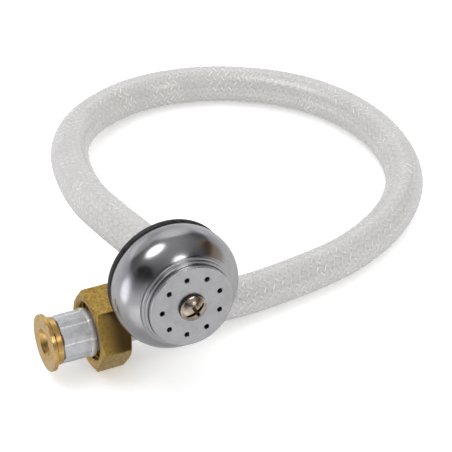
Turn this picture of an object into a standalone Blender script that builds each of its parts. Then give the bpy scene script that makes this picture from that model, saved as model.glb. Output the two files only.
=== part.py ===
"""Short braided PVC water hose with a perforated chrome spray head and a loose
brass union nut.

The hose lies in one loop on a table. Its head end crosses over its own tail and
holds the spray head clear of the table, and its other end is crimped onto a
brass tail with a collar. The union nut is slid back over the crimped sleeve and
stands on one of its flats. It slides forward until it catches the collar.

Metres, +Z up. X runs along the coupling's side of the object, +Y towards the far
end of the loop. The origin is on the table, under the middle of the metal ends.
"""
import math

import bmesh
import bpy
from mathutils import Matrix, Vector

MM = 0.001
GAP = 0.3 * MM                     # clearance between pieces that touch

# ---- hose and its crimped ends -------------------------------------------------
HOSE_OD = 17.0 * MM
HOSE_ID = 12.0 * MM
CRIMP_SQUEEZE = 0.62 * MM          # how much the crimp thins the hose wall
BARB_LENGTH = 13.0 * MM
BARB_RINGS = 3
FERRULE_WALL = 0.65 * MM           # at the middle of each crimped flat
FERRULE_LIP = 1.7 * MM             # uncrimped round lip at the hose side
FERRULE_FLATS = 8

# ---- coupling ------------------------------------------------------------------
COLLAR_THICK = 1.9 * MM
SHOULDER_LENGTH = 3.3 * MM
WATERWAY_OD = 7.8 * MM
COUNTERSINK_OD = 11.8 * MM
NUT_FACE = 18.6 * MM               # from the collar's face to the nut's mouth
NUT_LENGTH = 13.0 * MM
NUT_LIP = 3.0 * MM                 # thickness of the nut's inward lip
NUT_ACROSS_FLATS = 30.0 * MM
THREAD_MINOR = 24.12 * MM          # crest circle of the nut's thread

# ---- spray head ----------------------------------------------------------------
DOME_OD = 51.6 * MM
DOME_REAR_OD = 48.8 * MM           # where the dome meets the rubber ring
DOME_DEPTH = 22.9 * MM             # plate's front to the dome's rear rim
DOME_WALL = 1.2 * MM
PLATE_OD = 34.2 * MM
PLATE_THICK = 2.2 * MM
PLATE_HOLES = 9
PLATE_HOLE_OD = 2.1 * MM
JET_INSET = 4.75 * MM              # plate's rim to the middle of a jet
BEZEL_OD = 38.6 * MM
RING_OD = 49.8 * MM                # black rubber ring
RING_THICK = 2.3 * MM
SCREW_HEAD_OD = 10.9 * MM
SCREW_CROWN = 3.2 * MM             # height of the screw's domed head
SCREW_SLOT_DEPTH = 1.9 * MM
SCREW_SHANK_OD = 4.4 * MM
STEM_OD = 13.0 * MM

# ---- how the pieces lie ----------------------------------------------------------
HEAD_TURN = math.radians(25.4)     # head's face, turned from -Y towards +X
HEAD_TILT = math.radians(6.7)      # head's face, tipped upwards
COUPLING_TURN = math.radians(25.9)  # coupling's axis, turned from +X towards +Y
COUPLING_DROP = math.radians(3.1)  # the axis sinks towards the hose
COLLAR_SPOT = Vector((-36.3, -6.2, 0)) * MM
HEAD_CLEAR = 1.3 * MM              # air between the head and the nut
HEAD_BEARING = Vector((0.699, -0.249, 0.670)).normalized()   # nut to head

# ---- derived sizes ---------------------------------------------------------------
HOSE_R = HOSE_OD / 2
BARB_R = HOSE_ID / 2 - 0.1 * MM
BARB_CORE = BARB_R - 0.7 * MM
END_IN = BARB_R + GAP
END_OUT = HOSE_R - CRIMP_SQUEEZE + GAP
FERRULE_IN = END_OUT + GAP
FERRULE_FLAT = FERRULE_IN + FERRULE_WALL
FERRULE_CORNER = FERRULE_FLAT / math.cos(math.pi / FERRULE_FLATS)
LIP_R = FERRULE_CORNER + 0.3 * MM
LIP_IN = HOSE_R + 0.4 * MM
SHOULDER_R = FERRULE_CORNER
NUT_LIP_R = LIP_R + 0.5 * MM       # bore of the nut's lip
THREAD_R = max(THREAD_MINOR / 2, NUT_LIP_R + 1.4 * MM)
COLLAR_R = THREAD_R - GAP
NUT_FLAT = max(NUT_ACROSS_FLATS / 2, THREAD_R + 2.4 * MM)
NUT_CORNER = NUT_FLAT / math.cos(math.pi / 6)
TAIL_TUBE = COLLAR_THICK + SHOULDER_LENGTH
TAIL_END = TAIL_TUBE + BARB_LENGTH
TAIL_FERRULE = TAIL_TUBE + GAP
NUT_TRAVEL = NUT_FACE + NUT_LENGTH - NUT_LIP - COLLAR_THICK - GAP   # until it meets the collar


# ================================ helpers =========================================
def clear_scene():
    for obj in list(bpy.data.objects):
        bpy.data.objects.remove(obj, do_unlink=True)


def material(name, color, roughness, metallic):
    mat = bpy.data.materials.new(name)
    mat.use_nodes = True
    bsdf = mat.node_tree.nodes["Principled BSDF"]
    bsdf.inputs["Base Color"].default_value = (*color, 1.0)
    bsdf.inputs["Roughness"].default_value = roughness
    bsdf.inputs["Metallic"].default_value = metallic
    return mat


def finish(name, bm, parent, mat):
    """Turn a bmesh into a named, smooth shaded object under its frame."""
    bmesh.ops.remove_doubles(bm, verts=bm.verts, dist=1e-6)
    bmesh.ops.recalc_face_normals(bm, faces=bm.faces)
    mesh = bpy.data.meshes.new(name)
    bm.to_mesh(mesh)
    bm.free()
    mesh.shade_smooth()
    mesh.set_sharp_from_angle(angle=math.radians(34))
    mesh.materials.append(mat)
    obj = bpy.data.objects.new(name, mesh)
    bpy.context.scene.collection.objects.link(obj)
    obj.parent = parent
    return obj


def turned(profile, segments, closed=True):
    """Spin a list of (radius, z) points about Z. A closed profile gives a ring;
    an open one starts and ends on the axis."""
    bm = bmesh.new()
    verts = [bm.verts.new((r, 0.0, z)) for r, z in profile]
    pairs = list(zip(verts, verts[1:]))
    if closed:
        pairs.append((verts[-1], verts[0]))
    edges = [bm.edges.new(pair) for pair in pairs]
    bmesh.ops.spin(bm, geom=verts + edges, cent=(0, 0, 0), axis=(0, 0, 1),
                   angle=2 * math.pi, steps=segments, use_duplicate=False)
    return bm


def faceted(outline, bore, flats, segments=48, phase=0.0):
    """A ring whose outside is a prism with the given number of flats.

    outline is a list of (largest radius, z, flat radius or None): at each station
    the outside is the prism, turned down to the largest radius where that is less.
    None leaves the station round. bore is the list of (radius, z) going back.
    """
    bm = bmesh.new()
    loops = []
    step = 2 * math.pi / flats
    for j in range(segments):
        a = 2 * math.pi * j / segments
        off = (a % step) - step / 2
        loop = []
        for top, z, flat in outline:
            r = top if flat is None else min(top, flat / math.cos(off))
            loop.append((r, z))
        loop += bore
        c, s = math.cos(a + phase), math.sin(a + phase)
        loops.append([bm.verts.new((r * c, r * s, z)) for r, z in loop])
    for j in range(segments):
        one, two = loops[j], loops[(j + 1) % segments]
        for i in range(len(one)):
            k = (i + 1) % len(one)
            bm.faces.new((one[i], two[i], two[k], one[k]))
    return bm


def barb_profile(start, length, direction):
    """Outside of a hose barb from the axis station start, going in direction."""
    points = []
    pitch = length / BARB_RINGS
    for i in range(BARB_RINGS):
        z = start + direction * i * pitch
        points.append((BARB_CORE, z + direction * 0.15 * pitch))
        points.append((BARB_R, z + direction * 0.30 * pitch))
        points.append((BARB_CORE, z + direction * 0.95 * pitch))
    return points


def boolean(target, cutter, operation):
    cutter.hide_render = True
    cutter.display_type = 'WIRE'
    mod = target.modifiers.new(operation.lower(), 'BOOLEAN')
    mod.operation = operation
    mod.solver = 'EXACT'
    mod.object = cutter


def frame_empty(name, origin, z_axis):
    """An empty whose local +Z runs along z_axis and whose local X is level."""
    z_axis = z_axis.normalized()
    x_axis = z_axis.cross(Vector((0, 0, 1))).normalized()
    y_axis = z_axis.cross(x_axis)
    rot = Matrix((x_axis, y_axis, z_axis)).transposed().to_4x4()
    empty = bpy.data.objects.new(name, None)
    bpy.context.scene.collection.objects.link(empty)
    empty.matrix_world = Matrix.Translation(origin) @ rot
    return empty, Matrix.Translation(origin) @ rot


def hose_curve(points, per_span):
    """Smooth curve through the route's points, as evenly timed positions."""
    pts = [2 * points[0] - points[1]] + points + [2 * points[-1] - points[-2]]
    out = []
    for i in range(1, len(pts) - 2):
        p0, p1, p2, p3 = pts[i - 1:i + 3]
        for k in range(per_span):
            t = k / per_span
            out.append(0.5 * (2 * p1 + (p2 - p0) * t
                              + (2 * p0 - 5 * p1 + 4 * p2 - p3) * t * t
                              + (3 * p1 - p0 - 3 * p2 + p3) * t ** 3))
    out.append(points[-1].copy())
    return out


def resample(points, step):
    """Points at equal distances along a dense polyline, ends kept."""
    total = sum((b - a).length for a, b in zip(points, points[1:]))
    count = max(2, round(total / step))
    out, want, done = [points[0]], total / count, 0.0
    for a, b in zip(points, points[1:]):
        seg = (b - a).length
        while len(out) < count and done + seg >= want * len(out) - 1e-9:
            out.append(a.lerp(b, (want * len(out) - done) / seg))
        done += seg
    out.append(points[-1])
    return out


clear_scene()

CHROME = material("chrome", (0.62, 0.62, 0.64), 0.16, 1.0)
SATIN = material("satin_chrome", (0.52, 0.52, 0.54), 0.38, 1.0)
BRASS = material("brass", (0.72, 0.50, 0.22), 0.30, 1.0)
BRASS_AGED = material("aged_brass", (0.42, 0.29, 0.12), 0.42, 1.0)
NICKEL = material("nickel_bronze", (0.56, 0.49, 0.42), 0.28, 1.0)
ALUMINIUM = material("aluminium", (0.70, 0.70, 0.73), 0.36, 1.0)
RUBBER = material("black_rubber", (0.02, 0.02, 0.022), 0.55, 0.0)
FIBRE = material("fibre_washer", (0.30, 0.09, 0.05), 0.80, 0.0)
PVC = material("clear_pvc", (0.78, 0.78, 0.77), 0.22, 0.0)
STEEL = material("stainless_mesh", (0.45, 0.45, 0.46), 0.40, 1.0)

# ---- the two frames the metal pieces are built in ----------------------------------
coupling_dir = Vector((math.cos(COUPLING_TURN) * math.cos(COUPLING_DROP),
                       math.sin(COUPLING_TURN) * math.cos(COUPLING_DROP),
                       -math.sin(COUPLING_DROP)))
collar_height = (NUT_FLAT * math.cos(COUPLING_DROP)
                 + (NUT_FACE + NUT_LENGTH) * math.sin(COUPLING_DROP) + 0.02 * MM)
collar_centre = COLLAR_SPOT + Vector((0, 0, collar_height))
coupling, coupling_at = frame_empty("coupling_frame", collar_centre, coupling_dir)

head_dir = Vector((math.sin(HEAD_TURN) * math.cos(HEAD_TILT),
                   -math.cos(HEAD_TURN) * math.cos(HEAD_TILT),
                   math.sin(HEAD_TILT)))
nut_centre = collar_centre + coupling_dir * (NUT_FACE + NUT_LENGTH / 2)
dome_centre = nut_centre + HEAD_BEARING * (NUT_CORNER + DOME_OD / 2 + HEAD_CLEAR)
face_centre = dome_centre + head_dir * 14.0 * MM
head, head_at = frame_empty("head_frame", face_centre, head_dir)

# ================================ spray head ========================================
# The head's local +Z points out of its face, and z = 0 is the plate's front.

# Perforated face plate: a turned disc with an eased edge, nine jets and a screw hole.
plate_r = PLATE_OD / 2
screw_hole = SCREW_SHANK_OD / 2 + GAP
plate = finish("face_plate", turned([
    (screw_hole, -PLATE_THICK), (screw_hole, 0), (plate_r - 0.7 * MM, 0),
    (plate_r - 0.35 * MM, -0.1 * MM), (plate_r - 0.1 * MM, -0.35 * MM),
    (plate_r, -0.7 * MM), (plate_r, -PLATE_THICK)], 48), head, SATIN)
jet_circle = plate_r - JET_INSET
jets = bmesh.new()
for i in range(PLATE_HOLES):
    a = math.radians(-4) + 2 * math.pi * i / PLATE_HOLES
    at = Matrix.Translation((jet_circle * math.cos(a), jet_circle * math.sin(a),
                             -PLATE_THICK / 2))
    bmesh.ops.create_cone(jets, cap_ends=True, segments=12, radius1=PLATE_HOLE_OD / 2,
                          radius2=PLATE_HOLE_OD / 2, depth=PLATE_THICK * 2, matrix=at)
jet_cutter = finish("jet_cutter", jets, head, SATIN)
boolean(plate, jet_cutter, 'DIFFERENCE')

# Flat gasket that the plate is pulled down onto.
gasket_out = plate_r - 0.5 * MM
gasket_in = plate_r - 2.4 * MM
gasket_top = -PLATE_THICK - GAP
gasket_low = gasket_top - 0.6 * MM
finish("face_gasket", turned([(gasket_in, gasket_low), (gasket_in, gasket_top),
                              (gasket_out, gasket_top), (gasket_out, gasket_low)], 48),
       head, RUBBER)

# Bezel ring: two small steps between the plate and the dome.
bezel_r = BEZEL_OD / 2
bezel_in = gasket_in - 0.4 * MM
bezel_seat = gasket_low - GAP
bezel_low = bezel_seat - 1.0 * MM
rim_in = plate_r + GAP
rim_out = rim_in + (bezel_r - rim_in) * 0.55
finish("bezel_ring", turned([
    (bezel_in, bezel_low), (bezel_in, bezel_seat), (rim_in, bezel_seat),
    (rim_in, -2.2 * MM), (rim_in + 0.2 * MM, -2.05 * MM), (rim_out - 0.3 * MM, -2.05 * MM),
    (rim_out, -2.35 * MM), (rim_out, -3.3 * MM), (bezel_r - 0.3 * MM, -3.4 * MM),
    (bezel_r, -3.7 * MM), (bezel_r, bezel_low)], 48), head, CHROME)


# Domed shell: a spun cup, open at the back, with a lip under the bezel at the front.
def dome_outline(steps=9):
    """Outside of the dome from its front shoulder back to its rear rim."""
    front, rear = bezel_low - GAP, -DOME_DEPTH
    depth = front - rear
    r_front, r_max, r_rear = bezel_r + 0.35 * MM, DOME_OD / 2, DOME_REAR_OD / 2
    widest = 0.63
    points = []
    for i in range(steps + 1):
        t = (i / steps) ** 1.35
        if t < widest:
            k = 1 - t / widest
            r = r_front + (r_max - r_front) * (1 - k ** 2.3)
        else:
            k = (t - widest) / (1 - widest)
            r = r_max - (r_max - r_rear) * k ** 1.9
        points.append((r, front - depth * t))
    return points


outline = dome_outline()
inner = [(r - DOME_WALL, z - (DOME_WALL if i == 0 else 0.45 * DOME_WALL * (1 - i / 9)))
         for i, (r, z) in enumerate(outline)]
inner[-1] = (inner[-1][0], -DOME_DEPTH)
lip_z = outline[0][1]
finish("dome_shell", turned(
    [(bezel_in, lip_z)] + outline + inner[::-1] + [(bezel_in, lip_z - DOME_WALL)], 48),
    head, CHROME)

# Black rubber ring between the dome's rear rim and the back plate.
ring_front = -DOME_DEPTH - GAP
ring_back = ring_front - RING_THICK
ring_r = RING_OD / 2
ring_in = DOME_REAR_OD / 2 - 4.4 * MM
finish("seal_ring", turned([
    (ring_in, ring_back), (ring_in, ring_front), (ring_r - 0.5 * MM, ring_front),
    (ring_r - 0.1 * MM, ring_front - 0.4 * MM), (ring_r, ring_front - RING_THICK / 2),
    (ring_r - 0.1 * MM, ring_back + 0.4 * MM), (ring_r - 0.5 * MM, ring_back)], 48),
    head, RUBBER)

# Back plate that closes the shell behind the ring.
stem_r = STEM_OD / 2
stem_hole = stem_r + GAP
back_front = ring_back - GAP
back_back = back_front - 1.5 * MM
back_r = ring_r - 1.9 * MM
finish("back_plate", turned([
    (stem_hole, back_back), (stem_hole, back_front), (back_r - 0.3 * MM, back_front),
    (back_r, back_front - 0.3 * MM), (back_r, back_back + 0.5 * MM),
    (back_r - 0.5 * MM, back_back)], 48), head, CHROME)

# Fibre washer between the stem's flange and the inside of the back plate.
washer_low = back_front + GAP
washer_top = washer_low + 0.9 * MM
finish("stem_washer", turned([
    (stem_hole, washer_low), (stem_hole, washer_top), (stem_r + 3.2 * MM, washer_top),
    (stem_r + 3.2 * MM, washer_low)], 32), head, FIBRE)

# Inlet stem: one turned brass piece, spigot, flange, threaded neck and hose barb.
flange_low = washer_top + GAP
flange_top = flange_low + 2.0 * MM
spigot_top = flange_top + 4.0 * MM
spigot_r = stem_r + 0.4 * MM
waterway = WATERWAY_OD / 2
nut_front = back_back - GAP
locknut_h = 3.4 * MM
neck_end = nut_front - locknut_h - 0.6 * MM
stem_end = neck_end - BARB_LENGTH
finish("inlet_stem", turned(
    [(waterway, stem_end), (waterway, spigot_top), (spigot_r, spigot_top),
     (spigot_r, flange_top), (stem_r + 3.0 * MM, flange_top), (stem_r + 3.0 * MM, flange_low),
     (stem_r, flange_low), (stem_r, neck_end)]
    + barb_profile(neck_end, BARB_LENGTH, -1) + [(BARB_CORE, stem_end)], 28), head, BRASS)

# Hexagon locknut on the neck, behind the back plate.
lock_flat = stem_r + 3.2 * MM
lock_face = lock_flat * 1.02
finish("inlet_locknut", faceted(
    [(lock_face, nut_front, lock_flat), (lock_flat * 1.2, nut_front - 0.5 * MM, lock_flat),
     (lock_flat * 1.2, nut_front - locknut_h + 0.5 * MM, lock_flat),
     (lock_face, nut_front - locknut_h, lock_flat)],
    [(stem_hole, nut_front - locknut_h), (stem_hole, nut_front)], 6, 36), head, BRASS)

# Bridge that the centre screw pulls on: a collar on the stem's spigot, three legs
# with water windows between them, and a threaded hub behind the face plate.
bridge_in = spigot_r + GAP
bridge_out = bridge_in + 2.0 * MM
bridge_low = flange_top + GAP
hub_top = gasket_low - 0.5 * MM
bridge = finish("screw_bridge", turned([
    (bridge_in, bridge_low), (bridge_in, hub_top - 8.0 * MM), (4.6 * MM, hub_top - 5.4 * MM),
    (screw_hole, hub_top - 5.4 * MM), (screw_hole, hub_top), (6.2 * MM, hub_top),
    (6.2 * MM, hub_top - 1.6 * MM), (bridge_out, hub_top - 5.2 * MM),
    (bridge_out, bridge_low)], 32), head, BRASS)
windows = bmesh.new()
window_low = bridge_low + 3.0 * MM
window_high = hub_top - 4.0 * MM
for i in range(3):
    turn = Matrix.Rotation(2 * math.pi * i / 3, 4, 'Z')
    size = Matrix.Diagonal((12 * MM, 8.4 * MM, window_high - window_low, 1))
    at = Matrix.Translation((11 * MM, 0, (window_low + window_high) / 2))
    bmesh.ops.create_cube(windows, size=1.0, matrix=turn @ at @ size)
window_cutter = finish("window_cutter", windows, head, BRASS)
boolean(bridge, window_cutter, 'DIFFERENCE')

# Mesh strainer disc in the mouth of the stem's spigot, under the bridge.
strainer_r = spigot_r
strainer_low = spigot_top + GAP
finish("strainer_disc", turned([(0, strainer_low), (strainer_r, strainer_low),
                                (strainer_r, strainer_low + 0.5 * MM),
                                (0, strainer_low + 0.5 * MM)], 24, closed=False),
       head, STEEL)

# Thin washer under the screw's head.
head_r = SCREW_HEAD_OD / 2
finish("screw_washer", turned([
    (screw_hole, GAP), (screw_hole, GAP + 0.5 * MM), (head_r + 0.3 * MM, GAP + 0.5 * MM),
    (head_r + 0.3 * MM, GAP)], 32), head, STEEL)

# Centre screw: domed head with a long slot crossed by a short one.
seat = GAP + 0.5 * MM + GAP
crown = seat + SCREW_CROWN
shank = SCREW_SHANK_OD / 2
screw = finish("centre_screw", turned([
    (0, crown), (0.30 * head_r, crown - 0.10 * SCREW_CROWN),
    (0.58 * head_r, crown - 0.28 * SCREW_CROWN), (0.82 * head_r, crown - 0.52 * SCREW_CROWN),
    (0.96 * head_r, seat + 0.24 * SCREW_CROWN), (head_r, seat + 0.12 * SCREW_CROWN),
    (head_r, seat), (shank, seat), (shank, hub_top - 4.4 * MM),
    (shank - 0.6 * MM, hub_top - 5.2 * MM), (0, hub_top - 5.2 * MM)], 32, closed=False),
    head, NICKEL)
for slot, (length, angle) in enumerate(((8.9 * MM, 27.0), (5.4 * MM, -63.0))):
    recess = bmesh.new()
    turn = Matrix.Rotation(math.radians(angle), 4, 'Z')
    size = Matrix.Diagonal((length, 1.25 * MM, 2 * SCREW_SLOT_DEPTH, 1))
    at = Matrix.Translation((0, 0, crown))
    bmesh.ops.create_cube(recess, size=1.0, matrix=turn @ at @ size)
    boolean(screw, finish(f"slot_cutter_{slot}", recess, head, NICKEL), 'DIFFERENCE')


# ================================ crimped ends ======================================
def crimped_end(parent, start, direction, lip_name, hose_name):
    """Crimped sleeve and the hose wall squeezed in it, from start towards the hose."""
    d = direction
    long = BARB_LENGTH + 0.5 * MM
    flat_end = long - FERRULE_LIP
    big = FERRULE_CORNER * 1.2
    stations = [(FERRULE_CORNER - 0.35 * MM, 0.0, FERRULE_FLAT), (big, 0.4 * MM, FERRULE_FLAT),
                (big, flat_end - 0.9 * MM, FERRULE_FLAT), (LIP_R, flat_end, None),
                (LIP_R, long - 0.35 * MM, None), (LIP_R - 0.35 * MM, long, None)]
    bore = [(LIP_IN, long), (LIP_IN, flat_end + 0.3 * MM), (FERRULE_IN, flat_end - 0.5 * MM),
            (FERRULE_IN, 0.0)]
    finish(lip_name, faceted([(r, start + d * z, f) for r, z, f in stations],
                             [(r, start + d * z) for r, z in bore],
                             FERRULE_FLATS, 48, math.radians(9.6)), parent, ALUMINIUM)
    low, high = start + d * GAP, start + d * (flat_end - 1.0 * MM)
    finish(hose_name, turned([(END_IN, low), (END_OUT, low), (END_OUT, high),
                              (END_IN, high)], 32), parent, PVC)
    return start + d * (long + GAP)


head_hose_z = crimped_end(head, neck_end - GAP, -1, "head_ferrule", "hose_end_head")

# ================================ coupling ==========================================
# The coupling's local +Z runs from the collar's sealing face towards the hose.
tail = [(waterway, TAIL_END), (waterway, 2.6 * MM), (COUNTERSINK_OD / 2, 0),
        (COLLAR_R - 0.35 * MM, 0), (COLLAR_R, 0.35 * MM), (COLLAR_R, COLLAR_THICK - 0.3 * MM),
        (COLLAR_R - 0.3 * MM, COLLAR_THICK), (SHOULDER_R, COLLAR_THICK),
        (SHOULDER_R, TAIL_TUBE - 0.6 * MM), (SHOULDER_R - 0.6 * MM, TAIL_TUBE)]
finish("hose_tail", turned(tail + [(BARB_CORE, TAIL_TUBE)]
                           + barb_profile(TAIL_TUBE, BARB_LENGTH, 1)
                           + [(BARB_CORE, TAIL_END)], 32), coupling, BRASS)

tail_hose_z = crimped_end(coupling, TAIL_FERRULE, 1, "tail_ferrule", "hose_end_tail")

# Union nut, on its own empty on the slide axis. Its z = 0 is its mouth.
nut_axis, _ = frame_empty("nut_slide_axis", coupling_at @ Vector((0, 0, NUT_FACE)),
                          coupling_dir)
chamfer_r = NUT_FLAT + 0.15 * MM
corner = NUT_CORNER * 1.05
nut_outline = [(chamfer_r, 0, NUT_FLAT), (chamfer_r + 0.9 * MM, 0.45 * MM, NUT_FLAT),
               (corner, 1.35 * MM, NUT_FLAT), (corner, NUT_LENGTH - 1.35 * MM, NUT_FLAT),
               (chamfer_r + 0.9 * MM, NUT_LENGTH - 0.45 * MM, NUT_FLAT),
               (chamfer_r, NUT_LENGTH, NUT_FLAT)]
nut_bore = [(NUT_LIP_R, NUT_LENGTH), (NUT_LIP_R, NUT_LENGTH - NUT_LIP),
            (THREAD_R, NUT_LENGTH - NUT_LIP), (THREAD_R, 0.9 * MM), (THREAD_R + 0.9 * MM, 0)]
finish("union_nut", faceted(nut_outline, nut_bore, 6, 48), nut_axis, BRASS_AGED)

# ================================ hose ==============================================
# Route: heights are the rise of the hose's middle above where it lies on the table.
ROUTE = [(-11.5, 48.0, 28.6), (-23.0, 71.0, 22.6), (-31.2, 97.0, 16.4), (-35.0, 120.0, 11.0),
         (-34.6, 138.0, 7.2), (-31.0, 153.5, 4.4), (-24.0, 167.5, 2.0), (-13.0, 180.0, 0.5),
         (3.0, 189.0, 0), (22.0, 193.6, 0), (41.0, 193.8, 0), (60.0, 190.4, 0),
         (78.0, 183.0, 0), (95.0, 170.0, 0), (108.0, 152.5, 0), (115.6, 132.5, 0),
         (117.2, 112.5, 0), (112.4, 93.5, 0), (102.5, 76.0, 0), (87.5, 59.6, 0),
         (70.0, 47.4, 0), (52.5, 37.4, 0), (38.5, 30.2, 0.6), (22.5, 22.4, 2.6),
         (7.0, 14.8, 4.9)]
at_head = head_at @ Vector((0, 0, head_hose_z))
at_tail = coupling_at @ Vector((0, 0, tail_hose_z))
route = [at_head, at_head - head_dir * 9.0 * MM]
route += [Vector((x * MM, y * MM, HOSE_R + h * MM + 0.1 * MM)) for x, y, h in ROUTE]
route += [coupling_at @ Vector((0, 0, NUT_FACE + NUT_LENGTH + 2.4 * MM)), at_tail]
middle = resample(hose_curve(route, 12), 14.0 * MM)

curve = bpy.data.curves.new("hose", 'CURVE')
curve.dimensions = '3D'
curve.bevel_depth = HOSE_R
curve.bevel_resolution = 3
curve.use_fill_caps = True
spline = curve.splines.new('POLY')
spline.points.add(len(middle) - 1)
for point, at in zip(spline.points, middle):
    point.co = (*at, 1.0)
curve.materials.append(PVC)
hose = bpy.data.objects.new("hose", curve)
bpy.context.scene.collection.objects.link(hose)
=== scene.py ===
import math

import bmesh
import bpy
from mathutils import Matrix, Vector


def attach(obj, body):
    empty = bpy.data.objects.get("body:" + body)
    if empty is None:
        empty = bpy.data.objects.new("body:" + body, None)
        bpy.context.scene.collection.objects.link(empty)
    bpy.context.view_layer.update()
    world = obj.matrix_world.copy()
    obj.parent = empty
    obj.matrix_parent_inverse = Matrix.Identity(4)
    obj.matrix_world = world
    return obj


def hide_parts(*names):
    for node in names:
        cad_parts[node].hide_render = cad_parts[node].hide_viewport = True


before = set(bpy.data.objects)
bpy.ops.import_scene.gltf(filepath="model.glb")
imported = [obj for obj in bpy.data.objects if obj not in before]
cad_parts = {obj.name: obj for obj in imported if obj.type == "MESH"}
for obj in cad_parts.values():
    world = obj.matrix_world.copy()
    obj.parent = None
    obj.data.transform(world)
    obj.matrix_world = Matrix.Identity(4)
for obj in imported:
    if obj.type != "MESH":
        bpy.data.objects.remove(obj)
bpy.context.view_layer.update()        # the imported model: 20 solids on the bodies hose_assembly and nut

MM = 0.001
scene = bpy.context.scene

# ---- Camera ----------------------------------------------------------------------
# The object is seen from the front and a little above, with a long lens, so its loop
# of hose looks wide and its two metal ends lie near the middle of the left side.
def add(name, data):
    """A new object in the scene."""
    made = bpy.data.objects.new(name, data)
    scene.collection.objects.link(made)
    return made


lens = bpy.data.cameras.new("camera")
lens.lens = 136.8
lens.sensor_width = 36.0
camera = add("camera", lens)
camera.location = (0.0361, -0.5158, 0.4741)
camera.rotation_euler = (math.radians(52.0), 0.0, 0.0)
scene.camera = camera


# ---- Hose ------------------------------------------------------------------------
# Half-inch class water hose: clear soft PVC over an open plait of white yarns, on a
# milky PVC liner. It is extruded in one length, cut, and crimped at both ends.
def lie_along(spot, direction):
    """Place for a turned piece: its axis runs along direction, its local X is level."""
    z = direction.normalized()
    x = z.cross(Vector((0, 0, 1))).normalized()
    turn = Matrix((x, z.cross(x), z)).transposed().to_4x4()
    return Matrix.Translation(spot) @ turn


def slope(turn, tip):
    """Direction turned from +X towards +Y and tipped upwards, in degrees."""
    a, b = math.radians(turn), math.radians(tip)
    return Vector((math.cos(a) * math.cos(b), math.sin(a) * math.cos(b), math.sin(b)))


coupling_way = slope(25.9, -3.1)
coupling_at = lie_along(Vector((-36.3, -6.2, 16.707)) * MM, coupling_way)
head_at = lie_along(Vector((23.268, -18.876, 46.752)) * MM, slope(-64.6, 6.7))

hose_radius = 8.5 * MM
hose_in_head = head_at @ Vector((0, 0, -45.7 * MM))
hose_in_coupling = coupling_at @ Vector((0, 0, 19.3 * MM))
# Places along the table in millimetres, with the rise of the hose's middle over them.
bends = [(-11.5, 48.0, 28.6), (-23.0, 71.0, 22.6), (-31.2, 97.0, 16.4), (-35.0, 120.0, 11.0),
         (-34.6, 138.0, 7.2), (-31.0, 153.5, 4.4), (-24.0, 167.5, 2.0), (-13.0, 180.0, 0.5),
         (3.0, 189.0, 0), (22.0, 193.6, 0), (41.0, 193.8, 0), (60.0, 190.4, 0),
         (78.0, 183.0, 0), (95.0, 170.0, 0), (108.0, 152.5, 0), (115.6, 132.5, 0),
         (117.2, 112.5, 0), (112.4, 93.5, 0), (102.5, 76.0, 0), (87.5, 59.6, 0),
         (70.0, 47.4, 0), (52.5, 37.4, 0), (38.5, 30.2, 0.6), (22.5, 22.4, 2.6),
         (7.0, 14.8, 4.9)]
route = [hose_in_head, head_at @ Vector((0, 0, -54.7 * MM))]
route += [Vector((x * MM, y * MM, hose_radius + (rise + 0.1) * MM)) for x, y, rise in bends]
route += [coupling_at @ Vector((0, 0, 34.0 * MM)), hose_in_coupling]


def smooth_line(points, cuts):
    """A smooth line through all the points, with that many short runs between two."""
    ends = [2 * points[0] - points[1]] + points + [2 * points[-1] - points[-2]]
    line = []
    for i in range(1, len(ends) - 2):
        a, b, c, d = ends[i - 1:i + 3]
        for k in range(cuts):
            t = k / cuts
            line.append(0.5 * (2 * b + (c - a) * t + (2 * a - 5 * b + 4 * c - d) * t * t
                               + (3 * b - a - 3 * c + d) * t ** 3))
    return line + [points[-1].copy()]


hose_line = smooth_line(route, 12)


def put(tree, kind, inputs=None, **settings):
    """Add a node to a tree, set it up, and link or fill its inputs."""
    made = tree.nodes.new(kind)
    made.location = (210 * (len(tree.nodes) % 9), -230 * (len(tree.nodes) // 9))
    for key, value in settings.items():
        setattr(made, key, value)
    for key, value in (inputs or {}).items():
        if isinstance(value, bpy.types.NodeSocket):
            tree.links.new(value, made.inputs[key])
        else:
            made.inputs[key].default_value = value
    return made


def maths(tree, operation, *values):
    """A Math node's result, from sockets or numbers."""
    return put(tree, "ShaderNodeMath", dict(enumerate(values)), operation=operation).outputs[0]


def vectors(tree, operation, *values, **more):
    """A Vector Math node's vector, from sockets or vectors."""
    inputs = {**dict(enumerate(values)), **more}
    return put(tree, "ShaderNodeVectorMath", inputs, operation=operation).outputs[0]


def new_maker(name, sockets):
    """A Geometry Nodes tree with these named inputs and one geometry output."""
    tree = bpy.data.node_groups.new(name, "GeometryNodeTree")
    for label, kind in [("Geometry", "Geometry")] + sockets:
        tree.interface.new_socket(label, in_out='INPUT', socket_type="NodeSocket" + kind)
    tree.interface.new_socket("Geometry", in_out='OUTPUT', socket_type="NodeSocketGeometry")
    return tree, put(tree, "NodeGroupInput").outputs


def run_maker(start, tree, values):
    """Run a tree on a start mesh and give back the plain mesh it makes."""
    work = add("work", start)
    made = work.modifiers.new("maker", 'NODES')
    made.node_group = tree
    for item in tree.interface.items_tree:
        if item.in_out == 'INPUT' and item.name in values:
            made[item.identifier] = values[item.name]
    graph = bpy.context.evaluated_depsgraph_get()
    mesh = bpy.data.meshes.new_from_object(work.evaluated_get(graph))
    bpy.data.objects.remove(work, do_unlink=True)
    return mesh


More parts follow.
